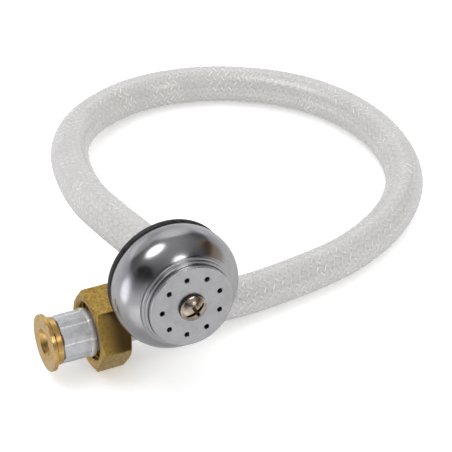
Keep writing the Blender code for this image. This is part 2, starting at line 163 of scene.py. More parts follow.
# The maker sweeps the hose's round skin along the line and lays the yarns over it:
# half of them wind one way and half the other, each over one and under one.
plaiter, given = new_maker("hose_plaiter", [
    ("Radius", "Float"), ("Yarns each way", "Int"), ("Lay length", "Float"),
    ("Yarn radius", "Float"), ("Yarn circle", "Float"), ("Over and under", "Float"),
    ("Skin", "Material"), ("Yarn", "Material")])
centre = put(plaiter, "GeometryNodeMeshToCurve", {"Mesh": given["Geometry"]})
skin_line = put(plaiter, "GeometryNodeResampleCurve",
                {"Curve": centre.outputs[0], "Length": 1.8 * MM}, mode='LENGTH')
reach = put(plaiter, "GeometryNodeSplineParameter")
skin_line = put(plaiter, "GeometryNodeStoreNamedAttribute", {
    "Geometry": skin_line.outputs[0], "Name": "along", "Value": reach.outputs["Length"]},
    data_type='FLOAT', domain='POINT')
ring = put(plaiter, "GeometryNodeCurvePrimitiveCircle",
           {"Resolution": 48, "Radius": given["Radius"]})
spot = put(plaiter, "GeometryNodeInputPosition")
ring = put(plaiter, "GeometryNodeStoreNamedAttribute", {
    "Geometry": ring.outputs[0], "Name": "around",
    "Value": vectors(plaiter, 'NORMALIZE', spot.outputs[0])},
    data_type='FLOAT_VECTOR', domain='POINT')
skin = put(plaiter, "GeometryNodeCurveToMesh", {
    "Curve": skin_line.outputs[0], "Profile Curve": ring.outputs[0], "Fill Caps": True})
skin = put(plaiter, "GeometryNodeSetMaterial",
           {"Geometry": skin.outputs[0], "Material": given["Skin"]})

yarn_line = put(plaiter, "GeometryNodeResampleCurve",
                {"Curve": centre.outputs[0], "Length": 0.85 * MM}, mode='LENGTH')
held = put(plaiter, "GeometryNodeCaptureAttribute",
           {"Geometry": yarn_line.outputs[0]}, domain='POINT')
for label, kind in (("run", 'FLOAT'), ("side", 'VECTOR'), ("ahead", 'VECTOR')):
    held.capture_items.new(kind, label)
plaiter.links.new(reach.outputs["Length"], held.inputs["run"])
plaiter.links.new(put(plaiter, "GeometryNodeInputNormal").outputs[0], held.inputs["side"])
plaiter.links.new(put(plaiter, "GeometryNodeInputTangent").outputs[0], held.inputs["ahead"])
yarns = put(plaiter, "GeometryNodeDuplicateElements", {
    "Geometry": held.outputs["Geometry"],
    "Amount": maths(plaiter, 'MULTIPLY', given["Yarns each way"], 2.0)}, domain='SPLINE')
number = yarns.outputs["Duplicate Index"]
way = maths(plaiter, 'SUBTRACT', 1.0, maths(plaiter, 'MULTIPLY', 2.0, maths(
    plaiter, 'FLOOR', maths(plaiter, 'DIVIDE', number, given["Yarns each way"]))))
share = maths(plaiter, 'DIVIDE', number, given["Yarns each way"])
turns = maths(plaiter, 'DIVIDE', held.outputs["run"], given["Lay length"])
angle = maths(plaiter, 'MULTIPLY', math.tau,
              maths(plaiter, 'ADD', maths(plaiter, 'MULTIPLY', way, turns), share))
hump = maths(plaiter, 'COSINE', maths(plaiter, 'MULTIPLY', math.tau, maths(
    plaiter, 'MULTIPLY', turns, given["Yarns each way"])))
lift = maths(plaiter, 'MULTIPLY', given["Over and under"], maths(plaiter, 'MULTIPLY', way, hump))
reach_out = maths(plaiter, 'ADD', given["Yarn circle"], lift)
across = vectors(plaiter, 'CROSS_PRODUCT', held.outputs["ahead"], held.outputs["side"])
outward = vectors(
    plaiter, 'ADD',
    vectors(plaiter, 'SCALE', held.outputs["side"], Scale=maths(plaiter, 'COSINE', angle)),
    vectors(plaiter, 'SCALE', across, Scale=maths(plaiter, 'SINE', angle)))
wound = put(plaiter, "GeometryNodeSetPosition", {
    "Geometry": yarns.outputs["Geometry"],
    "Offset": vectors(plaiter, 'SCALE', outward, Scale=reach_out)})
strand = put(plaiter, "GeometryNodeCurvePrimitiveCircle",
             {"Resolution": 6, "Radius": given["Yarn radius"]})
wound = put(plaiter, "GeometryNodeCurveToMesh", {
    "Curve": wound.outputs[0], "Profile Curve": strand.outputs[0], "Fill Caps": True})
wound = put(plaiter, "GeometryNodeSetMaterial",
            {"Geometry": wound.outputs[0], "Material": given["Yarn"]})
both = put(plaiter, "GeometryNodeJoinGeometry")
plaiter.links.new(wound.outputs[0], both.inputs[0])
plaiter.links.new(skin.outputs[0], both.inputs[0])
both = put(plaiter, "GeometryNodeSetShadeSmooth", {"Geometry": both.outputs[0]})
both = put(plaiter, "GeometryNodeRealizeInstances", {"Geometry": both.outputs[0]})
put(plaiter, "NodeGroupOutput", {"Geometry": both.outputs[0]})


def finish_of(name, **values):
    """A new material with its Principled shader, ready for its sockets."""
    made = bpy.data.materials.new(name)
    made.use_nodes = True
    shader = made.node_tree.nodes["Principled BSDF"]
    shader.location = (2100, 0)
    for key, value in values.items():
        shader.inputs[key.replace("_", " ")].default_value = value
    return made, made.node_tree, shader


def ramp(tree, value, stops):
    """A colour ramp with (place, colour) stops."""
    made = put(tree, "ShaderNodeValToRGB", {"Fac": value})
    bar = made.color_ramp
    while len(bar.elements) < len(stops):
        bar.elements.new(0.5)
    for stop, (place, colour) in zip(bar.elements, stops):
        stop.position, stop.color = place, (*colour, 1.0)
    return made.outputs["Color"]


def between(tree, value, low, high, out_low=0.0, out_high=1.0):
    """A smooth step from out_low to out_high while value goes from low to high."""
    return put(tree, "ShaderNodeMapRange", {
        "Value": value, "From Min": low, "From Max": high, "To Min": out_low,
        "To Max": out_high}, interpolation_type='SMOOTHSTEP').outputs[0]


def blend_of(tree, share, *colours):
    """A share of the way from one colour to another, each a socket or (r, g, b)."""
    inputs = {0: share}
    for index, colour in zip((6, 7), colours):
        inputs[index] = colour if isinstance(colour, bpy.types.NodeSocket) else (*colour, 1.0)
    return put(tree, "ShaderNodeMix", inputs, data_type='RGBA').outputs[2]


def noise(tree, vector, scale, detail, roughness=0.5):
    """Cloudy noise over a vector, about 0.5 on average."""
    return put(tree, "ShaderNodeTexNoise", {"Vector": vector, "Scale": scale, "Detail": detail,
                                            "Roughness": roughness}).outputs["Fac"]


def dress(tree, shader, colour, roughness, relief=None, strength=0.0, depth=0.0):
    """Link a shader's colour and roughness, and raise fine relief of that depth on it."""
    tree.links.new(colour, shader.inputs["Base Color"])
    tree.links.new(roughness, shader.inputs["Roughness"])
    if relief is not None:
        bump = put(tree, "ShaderNodeBump",
                   {"Height": relief, "Strength": strength, "Distance": depth})
        tree.links.new(bump.outputs[0], shader.inputs["Normal"])


lay_length = 42.0 * MM
yarns_each_way = 10

# Skin over the liner: the yarns show through it as paler bands.
clear_pvc, tree, shader = finish_of("clear_pvc_over_plait", Roughness=0.26,
                                    Coat_Weight=0.9, Coat_Roughness=0.10,
                                    Subsurface_Weight=0.35, Subsurface_Scale=0.003,
                                    IOR=1.5)
shader.inputs["Subsurface Radius"].default_value = (1.0, 1.0, 1.0)
around = put(tree, "ShaderNodeAttribute", attribute_name="around")
along = put(tree, "ShaderNodeAttribute", attribute_name="along").outputs["Fac"]
parts = put(tree, "ShaderNodeSeparateXYZ", {0: around.outputs["Vector"]})
share = maths(tree, 'DIVIDE', maths(tree, 'ARCTAN2', parts.outputs["Y"], parts.outputs["X"]),
              math.tau)
turns = maths(tree, 'DIVIDE', along, lay_length)
bands = []
for way in (1.0, -1.0):
    place = maths(tree, 'MULTIPLY', float(yarns_each_way), maths(
        tree, 'SUBTRACT', share, maths(tree, 'MULTIPLY', way, turns)))
    off = maths(tree, 'ABSOLUTE', maths(tree, 'SUBTRACT', maths(
        tree, 'FRACT', maths(tree, 'ADD', place, 0.5)), 0.5))
    bands.append(between(tree, off, 0.34, 0.10))
yarn_bed = maths(tree, 'MAXIMUM', *bands)
where = put(tree, "ShaderNodeTexCoord").outputs["Object"]
tint = ramp(tree, noise(tree, where, 120.0, 4.0), [(0.30, (0.475, 0.470, 0.455)),
                                                   (0.52, (0.505, 0.500, 0.485)),
                                                   (0.72, (0.525, 0.505, 0.495))])
pale = blend_of(tree, maths(tree, 'MULTIPLY', yarn_bed, 0.45), tint, (0.60, 0.595, 0.58))
haze = noise(tree, where, 900.0, 2.0)
relief = maths(tree, 'ADD', yarn_bed, maths(tree, 'MULTIPLY', haze, 0.2))
dress(tree, shader, pale, between(tree, haze, 0.2, 0.8, 0.24, 0.40), relief, 0.16, 0.2 * MM)

# The yarns' crowns, which lift the skin into fine ridges and catch the light.
yarn_white, tree, shader = finish_of("white_yarn_under_skin", Roughness=0.22,
                                     Coat_Weight=0.9, Coat_Roughness=0.10,
                                     Subsurface_Weight=0.25, Subsurface_Scale=0.002)
shader.inputs["Subsurface Radius"].default_value = (1.0, 1.0, 1.0)
where = put(tree, "ShaderNodeTexCoord").outputs["Object"]
twist = noise(tree, where, 1500.0, 1.0)
pale = ramp(tree, noise(tree, where, 90.0, 3.0), [(0.34, (0.64, 0.635, 0.620)),
                                                  (0.52, (0.76, 0.75, 0.735)),
                                                  (0.66, (0.92, 0.91, 0.89))])
dress(tree, shader, pale, between(tree, twist, 0.3, 0.7, 0.18, 0.34), twist, 0.25, 0.1 * MM)

hose_start = bpy.data.meshes.new("hose_line")
hose_start.from_pydata(hose_line, [(i, i + 1) for i in range(len(hose_line) - 1)], [])
hose_mesh = run_maker(hose_start, plaiter, {
    "Radius": hose_radius - 0.07 * MM, "Yarns each way": yarns_each_way,
    "Lay length": lay_length, "Yarn radius": 0.52 * MM, "Yarn circle": 7.97 * MM,
    "Over and under": 0.10 * MM, "Skin": clear_pvc, "Yarn": yarn_white})
hose_mesh.name = "braided_hose"
braided_hose = add("braided_hose", hose_mesh)
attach(braided_hose, "hose_assembly")
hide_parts("hose")


# ---- Crimped sleeves ---------------------------------------------------------------
# A thin aluminium sleeve over each end of the hose, squeezed by an eight-sided crimping
# die onto the barb inside. The die leaves flats, raised seams and a round lip.
def eased(corners, cuts=4, closed=True):
    """Round a profile's corners. Each corner is (radius, height, size of the round)."""
    line = []
    for i, (r, z, size) in enumerate(corners):
        here = Vector((r, z))
        if not size or (not closed and i in (0, len(corners) - 1)):
            line.append((r, z))
            continue
        back = Vector(corners[i - 1][:2]) - here
        on = Vector(corners[(i + 1) % len(corners)][:2]) - here
        cut = min(size, 0.42 * back.length, 0.42 * on.length)
        back.normalize()
        on.normalize()
        line.append(tuple(here + back * (cut + 0.03)))
        for k in range(cuts + 1):
            t = k / cuts
            line.append(tuple(here + back * cut * (1 - t) ** 2 + on * cut * t * t))
        line.append(tuple(here + on * (cut + 0.03)))
    return line


def soft_min(a, b, crispness):
    """The smaller of two radii, with the edge between them rounded."""
    return (a ** -crispness + b ** -crispness) ** (-1 / crispness)


def prism(angle, flat, sides, crispness):
    """Radius of a prism with rounded corners at an angle."""
    step = math.tau / sides
    off = (angle % step) - step / 2
    return soft_min(flat / math.cos(off), flat / math.cos(step - abs(off)), crispness)


def plain_mesh(name, bm):
    """The mesh that a work mesh holds."""
    mesh = bpy.data.meshes.new(name)
    bm.to_mesh(mesh)
    bm.free()
    return mesh


def closed_mesh(name, bm):
    """The same, with its seams joined and its faces turned outwards."""
    bmesh.ops.remove_doubles(bm, verts=bm.verts, dist=0.0005)
    bmesh.ops.recalc_face_normals(bm, faces=bm.faces)
    return plain_mesh(name, bm)


def as_piece(name, mesh, place, metal, node, body="hose_assembly", edge=32):
    """Put a mesh in millimetres in its place, with its metal, and give it to its body."""
    if isinstance(mesh, bmesh.types.BMesh):
        mesh = closed_mesh(name, mesh)
    mesh.transform(place @ Matrix.Scale(MM, 4))
    mesh.shade_smooth()
    mesh.set_sharp_from_angle(angle=math.radians(edge))
    mesh.materials.clear()
    mesh.materials.append(metal)
    piece = add(name, mesh)
    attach(piece, body)
    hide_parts(node)


def woven_rows(rows, around_count, start=0.0):
    """A closed ring from rows, each a function of angle giving (radius, height)."""
    bm = bmesh.new()
    loops = []
    for j in range(around_count):
        a = math.tau * j / around_count
        c, s = math.cos(a + start), math.sin(a + start)
        loops.append([bm.verts.new((r * c, r * s, z)) for r, z in (row(a) for row in rows)])
    for j, one in enumerate(loops):
        two = loops[(j + 1) % around_count]
        for i in range(len(one)):
            k = (i + 1) % len(one)
            bm.faces.new((one[i], two[i], two[k], one[k]))
    return bm


def local_axes(tree, place):
    """Object coordinates seen from a turned piece's own axis, in millimetres."""
    where = put(tree, "ShaderNodeTexCoord").outputs["Object"]
    seen = put(tree, "ShaderNodeMapping", {
        "Vector": where, "Location": place.to_translation(),
        "Rotation": place.to_euler(), "Scale": (MM, MM, MM)}, vector_type='TEXTURE')
    return seen.outputs[0]


# Marks that handling leaves on metal: soft smears and fine scratches along one way.
handling = bpy.data.node_groups.new("handling_marks", "ShaderNodeTree")
for label, kind, value in (("Vector", "Vector", None), ("Smear size", "Float", 0.25),
                           ("Scratch length", "Float", 8.0)):
    made = handling.interface.new_socket(label, in_out='INPUT', socket_type="NodeSocket" + kind)
    if value is not None:
        made.default_value = value
for label in ("Smear", "Scratch"):
    handling.interface.new_socket(label, in_out='OUTPUT', socket_type="NodeSocketFloat")
given = put(handling, "NodeGroupInput").outputs
smear = noise(handling, given["Vector"], given["Smear size"], 5.0, 0.6)
squash = put(handling, "ShaderNodeCombineXYZ", {0: 6.0, 1: 6.0})
handling.links.new(maths(handling, 'DIVIDE', 6.0, given["Scratch length"]), squash.inputs[2])
drawn = noise(handling, vectors(handling, 'MULTIPLY', given["Vector"], squash.outputs[0]),
              1.0, 2.0, 0.7)
put(handling, "NodeGroupOutput", {"Smear": between(handling, smear, 0.35, 0.70),
                                  "Scratch": between(handling, drawn, 0.56, 0.72)})


def marks_on(tree, vector, smear_size, scratch_length):
    """Masks of the smears and of the scratches."""
    made = put(tree, "ShaderNodeGroup", {"Vector": vector, "Smear size": smear_size,
                                         "Scratch length": scratch_length},
               node_tree=handling)
    return made.outputs["Smear"], made.outputs["Scratch"]


die_sides = 8


def crimped_aluminium(name, place):
    """Soft aluminium, scuffed along the sleeve where the die's jaws slid, with its seams painted bright:
    partly scuffs, partly a painted highlight.
    """
    made, tree, shader = finish_of(name, Metallic=0.70, Roughness=0.38)
    axes = local_axes(tree, place)
    smear, scratch = marks_on(tree, axes, 0.35, 30.0)
    tone = blend_of(tree, smear, (0.66, 0.67, 0.70), (0.52, 0.53, 0.56))
    tone = blend_of(tree, maths(tree, 'MULTIPLY', scratch, 0.6), tone, (0.80, 0.81, 0.84))
    parts = put(tree, "ShaderNodeSeparateXYZ", {0: axes}).outputs
    bearing = maths(tree, 'ARCTAN2', parts["Y"], parts["X"])
    # The raised seams between the flats are painted near white in broken lines: partly scuffed metal,
    # partly a painted highlight along their edges.
    seam = between(tree, maths(tree, 'COSINE', maths(tree, 'MULTIPLY', float(die_sides), bearing)),
                   -0.90, -0.995)
    flecks = between(tree, noise(tree, axes, 1.4, 3.0), 0.36, 0.52)
    tone = blend_of(tree, maths(tree, 'MULTIPLY', seam, flecks), tone, (0.97, 0.96, 0.96))
    rough = maths(tree, 'ADD', between(tree, smear, 0.0, 1.0, 0.36, 0.48),
                  maths(tree, 'MULTIPLY', scratch, 0.12))
    dress(tree, shader, tone, rough, scratch, 0.5, 0.06 * MM)
    return made


def crimped_sleeve(name, place, start, way, node):
    """Sleeve from its start on the axis towards the hose, 13.5 mm long."""
    outside = [(9.45, 0.00), (9.62, 0.12), (9.9, 0.35), (20, 0.6), (20, 1.2), (20, 3.0),
               (20, 5.5), (20, 8.0), (20, 10.0), (20, 10.7), (20, 11.1)]

    def flank(limit, z):
        def row(a):
            jag = 0.10 * math.sin(7 * a + 1.0) + 0.07 * math.sin(17 * a) if z < 0.5 else 0.0
            seam = 0.10 * max(0.0, math.cos(die_sides * a)) ** 10 if 0.6 < z < 11 else 0.0
            r = soft_min(limit, prism(a, 9.13, die_sides, 90), 120) + seam
            return r, start + way * (z + jag * (1 - z / 0.5) if z < 0.5 else z)
        return row

    def round_row(r, z):
        return lambda a: (r, start + way * z)

    rows = [flank(r, z) for r, z in outside]
    rows += [round_row(r, z) for r, z in (
        (10.00, 11.5), (10.14, 11.75), (10.18, 12.1), (10.18, 12.9), (10.10, 13.25),
        (9.90, 13.45), (9.6, 13.5), (9.2, 13.5), (8.95, 13.4), (8.90, 13.1), (8.90, 12.1),
        (8.48, 11.3), (8.48, 6.0), (8.48, 0.15))]
    as_piece(name, woven_rows(rows, 176, math.radians(9.6)), place,
             crimped_aluminium("crimped_" + name, place), node)


crimped_sleeve("sleeve_at_coupling", coupling_at, 5.5, 1.0, "tail_ferrule")
crimped_sleeve("sleeve_at_head", head_at, -31.9, -1.0, "head_ferrule")


# ---- Hose tail ---------------------------------------------------------------------
# One piece of brass turned from bar: a flat-faced collar that the union nut catches, a
# polished shoulder, and a barb inside the hose. Water runs through its middle.
def turned(corners, steps=160, closed=True, cuts=4):
    """Turn a profile of (radius, height, round) corners about the axis."""
    bm = bmesh.new()
    line = [bm.verts.new((r, 0.0, z)) for r, z in eased(corners, cuts, closed)]
    pairs = list(zip(line, line[1:])) + ([(line[-1], line[0])] if closed else [])
    edges = [bm.edges.new(pair) for pair in pairs]
    bmesh.ops.spin(bm, geom=line + edges, cent=(0, 0, 0), axis=(0, 0, 1),
                   angle=math.tau, steps=steps, use_duplicate=False)
    return bm


def split_up(tree, axes):
    """A place's coordinates, the part of it square to the axis, and that part's length."""
    parts = put(tree, "ShaderNodeSeparateXYZ", {0: axes}).outputs
    flat = put(tree, "ShaderNodeCombineXYZ", {0: parts["X"], 1: parts["Y"]}).outputs[0]
    length = put(tree, "ShaderNodeVectorMath", {0: flat}, operation='LENGTH')
    return parts, flat, length.outputs["Value"]


# Rings that a lathe tool leaves: fine bands that change with radius and height only.
lathe_rings = bpy.data.node_groups.new("lathe_rings", "ShaderNodeTree")
for label, kind in (("Vector", "Vector"), ("Rings per mm", "Float")):
    lathe_rings.interface.new_socket(label, in_out='INPUT', socket_type="NodeSocket" + kind)
lathe_rings.interface.new_socket("Height", in_out='OUTPUT', socket_type="NodeSocketFloat")
given = put(lathe_rings, "NodeGroupInput").outputs
parts, flat, reach = split_up(lathe_rings, given["Vector"])
feed = put(lathe_rings, "ShaderNodeTexNoise", {
    "W": maths(lathe_rings, 'MULTIPLY', maths(lathe_rings, 'ADD', reach, parts["Z"]),
               given["Rings per mm"]), "Scale": 1.0, "Detail": 3.0}, noise_dimensions='1D')
put(lathe_rings, "NodeGroupOutput", {"Height": feed.outputs["Fac"]})


def rings_on(tree, vector, per_mm):
    """Height of the tool's rings."""
    return put(tree, "ShaderNodeGroup", {"Vector": vector, "Rings per mm": per_mm},
               node_tree=lathe_rings).outputs["Height"]


def turned_metal(name, place, fresh, dull, rough, rings, ring_depth=0.3):
    """Turned metal: two tones, roughness that wanders, and rings from the tool."""
    made, tree, shader = finish_of(name, Metallic=1.0, Roughness=rough)
    axes = local_axes(tree, place)
    smear, scratch = marks_on(tree, axes, 0.2, 4.0)
    rings_seen = rings_on(tree, axes, rings)
    rougher = maths(tree, 'ADD', between(tree, smear, 0.0, 1.0, rough * 0.8, rough * 1.5),
                    maths(tree, 'MULTIPLY', rings_seen, rough * 0.4))
    height = maths(tree, 'ADD', rings_seen, maths(tree, 'MULTIPLY', scratch, 0.3))
    dress(tree, shader, blend_of(tree, smear, fresh, dull), rougher, height, ring_depth,
          0.04 * MM)
    return made


tail_brass = turned_metal("turned_brass", coupling_at, (0.83, 0.56, 0.22), (0.68, 0.42, 0.14),
                          0.22, rings=4.0, ring_depth=0.45)
barb = []
for ring in range(3):
    z = 5.2 + ring * 13 / 3
    barb += [(5.2, z + 0.65, 0.1), (5.9, z + 1.3, 0.15), (5.2, z + 4.1, 0.1)]
as_piece("hose_tail_turned", turned([
    (3.9, 18.2, 0.2), (3.9, 2.6, 0.2), (5.9, 0, 0.25), (11.78, 0, 0.30),
    (11.78, 1.9, 0.30), (9.55, 1.9, 0.25), (9.55, 2.35, 0.15), (9.88, 2.6, 0.2),
    (9.88, 4.9, 0.5), (9.2, 5.2, 0.2), (5.2, 5.2, 0.1)] + barb + [(5.2, 18.2, 0.3)]),
    coupling_at, tail_brass, "hose_tail")


# ---- Union nut -----------------------------------------------------------------------
# Hot-pressed brass hexagon, 30 mm across flats, left to tarnish. Both ends are
# chamfered, a thread for a 26.4 mm spigot is cut inside, and its lip catches the collar.
nut_height, nut_flat = 13.0, 15.0
thread_pitch = 1.814


def nut_flank(z):
    """The hexagon at a height along the nut, inside the chamfer's limit there."""
    deep = min(z, nut_height - z)
    chamfer = nut_flat + 0.15 + 2.0 * min(deep, 0.45) + 2.6 * max(0.0, deep - 0.45)
    return lambda a: (soft_min(chamfer, prism(a, nut_flat, 6, 110), 110), z)


def thread_row(z):
    """Bore of the nut: a thread that fades out at both ends."""
    def row(a):
        turn = (z / thread_pitch + a / math.tau) % 1.0
        deep = max(0.0, 1 - abs(turn - 0.5) / 0.42)
        fade = min(1.0, max(0.0, (z - 0.7) / 0.8), max(0.0, (9.6 - z) / 0.8))
        return 12.08 + 1.05 * min(deep * 1.25, 1.0) * fade, z
    return row


chamfer_steps = [0.0, 0.08, 0.2, 0.33, 0.45, 0.6, 0.75, 0.9, 1.05, 1.2, 1.35, 1.55, 1.9]
nut_rows = [lambda a: (13.4, 0.0), lambda a: (14.6, 0.0)]
nut_rows += [nut_flank(z) for z in chamfer_steps] + [nut_flank(z) for z in (4.0, 6.5, 9.0)]
nut_rows += [nut_flank(nut_height - z) for z in reversed(chamfer_steps)]
nut_rows += [(lambda a, r=r, z=z: (r, z)) for r, z in (
    (14.6, nut_height), (11.1, nut_height), (10.82, 12.9), (10.68, 12.7), (10.68, 10.25),
    (10.75, 10.08), (10.95, 10.0), (11.8, 10.0), (12.08, 9.95))]
nut_rows += [thread_row(9.8 - 0.19 * k) for k in range(46)]
nut_rows += [(lambda a, r=r, z=z: (r, z)) for r, z in (
    (12.08, 0.92), (12.5, 0.5), (12.9, 0.12), (13.05, 0.02))]
nut_at = lie_along(coupling_at @ Vector((0, 0, 18.6 * MM)), coupling_way)

aged_brass, tree, shader = finish_of("tarnished_brass", Metallic=1.0, Roughness=0.4)
axes = local_axes(tree, nut_at)
smear = marks_on(tree, axes, 0.22, 3.0)[0]
blotch = noise(tree, axes, 0.85, 6.0, 0.62)
tone = ramp(tree, blotch, [(0.28, (0.34, 0.20, 0.055)), (0.44, (0.46, 0.28, 0.07)),
                           (0.58, (0.62, 0.41, 0.11)), (0.78, (0.66, 0.42, 0.17))])
tone = blend_of(tree, maths(tree, 'MULTIPLY', smear, 0.35), tone, (0.52, 0.37, 0.09))
# Painted shade: the flat that looks towards the spray head is darkened nearly black along its rear half,
# where the head shades it and shows dark in it.
flat_toward_head = (0.337, -0.711, 0.617)
faced = put(tree, "ShaderNodeVectorMath", {
    0: put(tree, "ShaderNodeNewGeometry").outputs["Normal"], 1: flat_toward_head},
    operation='DOT_PRODUCT')
length = put(tree, "ShaderNodeSeparateXYZ", {0: axes}).outputs["Z"]
ragged = maths(tree, 'ADD', length, maths(tree, 'MULTIPLY', blotch, 6.0))
painted_flat_shade = maths(tree, 'MULTIPLY', between(tree, faced.outputs["Value"], 0.90, 0.98),
                between(tree, ragged, 3.5, 12.5))
tone = blend_of(tree, maths(tree, 'MULTIPLY', painted_flat_shade, 0.92), tone, (0.08, 0.048, 0.022))
pits = put(tree, "ShaderNodeTexVoronoi", {"Vector": axes, "Scale": 1.6})
height = maths(tree, 'ADD', maths(tree, 'MULTIPLY', blotch, 1.2),
               between(tree, pits.outputs["Distance"], 0.05, 0.25))
dress(tree, shader, tone, between(tree, blotch, 0.3, 0.75, 0.48, 0.28), height, 0.16,
      0.12 * MM)
as_piece("union_nut_threaded", woven_rows(nut_rows, 192), nut_at, aged_brass, "union_nut",
         body="nut", edge=38)


# ---- Inlet of the spray head ---------------------------------------------------------
# A brass stem comes in through the back plate, held by a thin hexagon locknut. The hose
# is pushed over its barb. A chrome-plated back plate closes the shell round it.
polished_chrome, tree, shader = finish_of("polished_chrome", Metallic=1.0, Roughness=0.10)
axes = local_axes(tree, head_at)
smear, scratch = marks_on(tree, axes, 0.12, 5.0)
rough = maths(tree, 'ADD', between(tree, smear, 0.0, 1.0, 0.15, 0.23),
              maths(tree, 'MULTIPLY', scratch, 0.05))
dress(tree, shader, blend_of(tree, smear, (0.52, 0.52, 0.54), (0.46, 0.46, 0.48)), rough,
      noise(tree, axes, 0.9, 3.0), 0.25, 0.05 * MM)

as_piece("back_plate_pressed", turned([
    (6.8, -27.3, 0.1), (6.8, -25.8, 0.1), (23.0, -25.8, 0.3), (23.0, -27.3, 0.5)]),
    head_at, polished_chrome, "back_plate")

head_brass = turned_metal("turned_brass_inlet", head_at, (0.74, 0.53, 0.26),
                          (0.58, 0.40, 0.17), 0.26, rings=3.0)
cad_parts["inlet_stem"].material_slots[0].material = head_brass
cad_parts["screw_bridge"].material_slots[0].material = head_brass


lock_rear, lock_front = -31.0, -27.6


def locknut_flank(z):
    """The thin hexagon at a height, inside the chamfer's limit there."""
    chamfer = 9.9 + 1.9 * min(z - lock_rear, lock_front - z)
    return lambda a: (soft_min(chamfer, prism(a, 9.7, 6, 110), 110), z)


rows = [lambda a: (8.2, lock_rear)]
rows += [locknut_flank(z) for z in (lock_rear, -30.9, -30.75, -30.55, -30.3, -29.9, -29.3,
                                    -28.7, -28.3, -28.05, -27.85, -27.7, lock_front)]
rows += [(lambda a, r=r, z=z: (r, z)) for r, z in (
    (8.2, lock_front), (6.95, lock_front), (6.8, -27.75), (6.8, -30.85), (6.95, lock_rear))]
as_piece("inlet_locknut_hex", woven_rows(rows, 144), head_at, head_brass, "inlet_locknut",
         edge=38)

# Black rubber ring squeezed between the shell's rear rim and the back plate.
black_rubber, tree, shader = finish_of("black_rubber_ring", Roughness=0.45)
axes = local_axes(tree, head_at)
bloom = noise(tree, axes, 0.5, 6.0)
dress(tree, shader, ramp(tree, bloom, [(0.35, (0.010, 0.010, 0.011)),
                                       (0.70, (0.030, 0.030, 0.032))]),
      between(tree, bloom, 0.3, 0.7, 0.34, 0.60), noise(tree, axes, 9.0, 2.0), 0.3, 0.06 * MM)
as_piece("rubber_ring", turned([
    (20.0, -25.5, 0.2), (20.0, -23.1, 0.2), (24.6, -23.1, 0.4), (25.15, -24.3, 1.2),
    (24.6, -25.55, 0.4)]), head_at, black_rubber, "seal_ring")

# Fibre washer, strainer, gasket and the two squeezed hose ends are shut inside; they
# keep their solids and get the finish of the real thing.
fibre, tree, shader = finish_of("vulcanised_fibre", Roughness=0.8)
axes = local_axes(tree, head_at)
flock = noise(tree, axes, 3.0, 6.0)
dress(tree, shader, ramp(tree, flock, [(0.3, (0.20, 0.05, 0.03)), (0.7, (0.38, 0.13, 0.08))]),
      between(tree, flock, 0.3, 0.7, 0.7, 0.9))
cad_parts["stem_washer"].material_slots[0].material = fibre
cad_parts["face_gasket"].material_slots[0].material = black_rubber

gauze, tree, shader = finish_of("woven_steel_gauze", Metallic=1.0, Roughness=0.35)
axes = local_axes(tree, head_at)
parts = put(tree, "ShaderNodeSeparateXYZ", {0: axes}).outputs
wire_gap = 0.6
wires = [between(tree, maths(tree, 'ABSOLUTE', maths(tree, 'SINE', maths(
    tree, 'MULTIPLY', parts[axis], math.pi / wire_gap))), 0.55, 0.80) for axis in ("X", "Y")]
wire = maths(tree, 'MAXIMUM', *wires)
dress(tree, shader, blend_of(tree, wire, (0.05, 0.05, 0.055), (0.55, 0.55, 0.56)),
      between(tree, wire, 0.0, 1.0, 0.7, 0.3), wire, 0.8, 0.1 * MM)
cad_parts["strainer_disc"].material_slots[0].material = gauze

squeezed_pvc, tree, shader = finish_of("squeezed_pvc", Roughness=0.35,
                                       Subsurface_Weight=0.2, Subsurface_Scale=0.002)
cloud = noise(tree, put(tree, "ShaderNodeTexCoord").outputs["Object"], 300.0, 4.0)
dress(tree, shader, ramp(tree, cloud, [(0.3, (0.58, 0.59, 0.57)), (0.7, (0.72, 0.71, 0.69))]),
      between(tree, cloud, 0.3, 0.7, 0.25, 0.45))
for node in ("hose_end_head", "hose_end_tail"):
    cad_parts[node].material_slots[0].material = squeezed_pvc


# ---- Domed shell ------------------------------------------------------------------------
# Spun from brass sheet about 1.2 mm thick and chrome plated: widest just before its rear
# rim, drawn in to a flat lip that the bezel sits on.
front, rear, sheet = -4.7, -22.9, 1.2
lip_radius, widest, rim_radius = 19.65, 25.8, 24.4
widest_at = 0.63                  # share of the way from the front to the rear
dome_rows = 30
outside = []
for i in range(dome_rows + 1):
    t = (i / dome_rows) ** 1.35
    if t < widest_at:
        r = lip_radius + (widest - lip_radius) * (1 - (1 - t / widest_at) ** 2.3)
    else:
        r = widest - (widest - rim_radius) * ((t - widest_at) / (1 - widest_at)) ** 1.9
    outside.append((r, front + (rear - front) * t, 0))
inside = [(r - sheet, z - (sheet if i == 0 else 0.54 * (1 - i / dome_rows)), 0)
          for i, (r, z, _) in enumerate(outside)]
inside[-1] = (inside[-1][0], rear, 0)
hub_radius = 14.3
as_piece("domed_shell", turned(
    [(hub_radius, front, 0.15)] + outside + inside[::-1] + [(hub_radius, front - sheet, 0.1)],
    192), head_at, polished_chrome, "dome_shell")


# ---- Bezel --------------------------------------------------------------------------------
# A chrome-plated ring with two small rounded steps, trapped between the shell's lip and
# the gasket under the face plate.
as_piece("stepped_bezel", turned([
    (hub_radius, -4.4, 0.1), (hub_radius, -3.4, 0.1), (17.36, -3.4, 0.15), (17.36, -2.05, 0.12),
    (18.45, -2.05, 0.40), (18.45, -3.36, 0.20), (19.3, -3.42, 0.35), (19.3, -4.66, 0.05),
    (16.0, -4.66, 0.1), (16.0, -4.4, 0.1)],
    192, cuts=5), head_at, polished_chrome, "bezel_ring")


